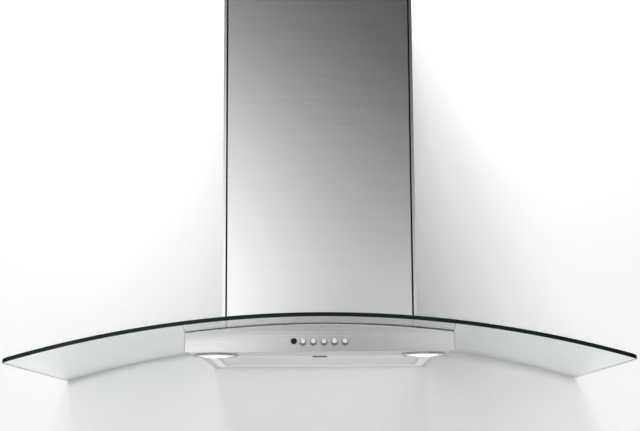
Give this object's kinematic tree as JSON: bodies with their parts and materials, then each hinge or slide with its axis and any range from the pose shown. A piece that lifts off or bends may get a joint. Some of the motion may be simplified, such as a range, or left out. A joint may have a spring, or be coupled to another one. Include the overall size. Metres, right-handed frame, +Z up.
{
  "type": "wall-mounted range hood",
  "caption": "Wall-mounted range hood: arched clear glass canopy on a slim steel body with push buttons, lamps and a swing-down grease filter, blower inside a telescopic chimney.",
  "frame": {"origin": "middle of the four wall fixings, on the plane of the wall", "axes": "+X to the right of someone facing the hood, +Y into the wall, +Z up"},
  "size_m": [0.9, 0.48, 0.7238],
  "materials": {
    "glass": "clear float glass, bent and toughened, polished edges",
    "brushed_steel": "brushed stainless steel with a level grain",
    "galvanised_steel": "galvanised sheet",
    "zinc_fasteners": "bright zinc",
    "turned_steel": "turned steel",
    "seal_rubber": "matt foam rubber",
    "button_silver": "silver-grey satin",
    "window_black": "dark glossy window",
    "carrier_plastic": "moulded black",
    "board_green": "green solder mask",
    "switch_black": "moulded black",
    "lamp_chrome": "polished",
    "lamp_lens": "frosted diffuser, lit",
    "lamp_aluminium": "bare",
    "filter_aluminium": "bare expanded metal in a rolled frame",
    "latch_steel": "satin",
    "blower_plastic": "moulded dark grey",
    "impeller_plastic": "moulded black",
    "motor_enamel": "black enamel",
    "spider_steel": "pressed sheet",
    "collar_plastic": "moulded grey"
  },
  "bodies": {
    "hood": {"glass_canopy": "glass", "chimney_front_panel": "brushed_steel", "chimney_side_left": "brushed_steel", "chimney_side_right": "brushed_steel", "control_fascia": "brushed_steel", "body_shell": "brushed_steel", "airbox": "galvanised_steel", "wall_plate": "galvanised_steel", "chimney_bracket_left": "galvanised_steel", "chimney_bracket_right": "galvanised_steel", "filter_pivot_lugs": "galvanised_steel", "clamp_bolts": "zinc_fasteners", "clamp_nuts": "zinc_fasteners", "collar_screws": "zinc_fasteners", "motor_screws": "zinc_fasteners", "chimney_screws": "zinc_fasteners", "flap_pin": "turned_steel", "glass_seal_lower": "seal_rubber", "glass_seal_upper": "seal_rubber", "sensor_window": "window_black", "button_carrier": "carrier_plastic", "terminal_box": "carrier_plastic", "cable_gland": "carrier_plastic", "control_board": "board_green", "tact_switches": "switch_black", "lamp_bezel_left": "lamp_chrome", "lamp_bezel_right": "lamp_chrome", "lamp_lens_left": "lamp_lens", "lamp_lens_right": "lamp_lens", "lamp_housing_left": "lamp_aluminium", "lamp_housing_right": "lamp_aluminium", "run_capacitor": "lamp_aluminium", "blower_housing_left": "blower_plastic", "blower_housing_right": "blower_plastic", "outlet_transition": "blower_plastic", "motor": "motor_enamel", "motor_spider": "spider_steel", "capacitor_clamp": "spider_steel", "outlet_collar": "collar_plastic"},
    "upper_chimney": {"upper_chimney": "brushed_steel", "upper_wall_strap": "galvanised_steel", "upper_chimney_screws": "zinc_fasteners"},
    "filter": {"filter_frame": "filter_aluminium", "filter_mesh": "filter_aluminium", "filter_pivot_pins": "turned_steel"},
    "latch": {"filter_latch": "latch_steel"},
    "rotor": {"impeller": "impeller_plastic", "motor_shaft": "turned_steel"},
    "flap_left": {"flap_left": "collar_plastic"},
    "flap_right": {"flap_right": "collar_plastic"},
    "button_power": {"button_power": "button_silver"},
    "button_low": {"button_low": "button_silver"},
    "button_medium": {"button_medium": "button_silver"},
    "button_high": {"button_high": "button_silver"},
    "button_lamp": {"button_lamp": "button_silver"}
  },
  "joints": [
    {"name": "upper_chimney_slide", "type": "slide", "parent": "hood", "child": "upper_chimney", "axis": [0, 0, 1], "range_m": [-0.08, 0.3]},
    {"name": "filter_swing", "type": "hinge", "parent": "hood", "child": "filter", "pos_m": [0, -0.0285, -0.188], "axis": [1, 0, 0], "range_deg": [0, 75]},
    {"name": "latch_slide", "type": "slide", "parent": "filter", "child": "latch", "axis": [0, 1, 0], "range_m": [0, 0.004], "stiffness_N_per_m": 400},
    {"name": "impeller_spin", "type": "hinge", "parent": "hood", "child": "rotor", "pos_m": [0, -0.1062, -0.018], "axis": [-1, 0, 0], "continuous": true},
    {"name": "flap_left_swing", "type": "hinge", "parent": "hood", "child": "flap_left", "pos_m": [0, -0.1562, 0.172], "axis": [0, 1, 0], "range_deg": [0, 78]},
    {"name": "flap_right_swing", "type": "hinge", "parent": "hood", "child": "flap_right", "pos_m": [0, -0.1562, 0.172], "axis": [0, -1, 0], "range_deg": [0, 78]},
    {"name": "button_power_press", "type": "slide", "parent": "hood", "child": "button_power", "axis": [0, 1, 0], "range_m": [0, 0.0015], "stiffness_N_per_m": 800},
    {"name": "button_low_press", "type": "slide", "parent": "hood", "child": "button_low", "axis": [0, 1, 0], "range_m": [0, 0.0015], "stiffness_N_per_m": 800},
    {"name": "button_medium_press", "type": "slide", "parent": "hood", "child": "button_medium", "axis": [0, 1, 0], "range_m": [0, 0.0015], "stiffness_N_per_m": 800},
    {"name": "button_high_press", "type": "slide", "parent": "hood", "child": "button_high", "axis": [0, 1, 0], "range_m": [0, 0.0015], "stiffness_N_per_m": 800},
    {"name": "button_lamp_press", "type": "slide", "parent": "hood", "child": "button_lamp", "axis": [0, 1, 0], "range_m": [0, 0.0015], "stiffness_N_per_m": 800}
  ]
}
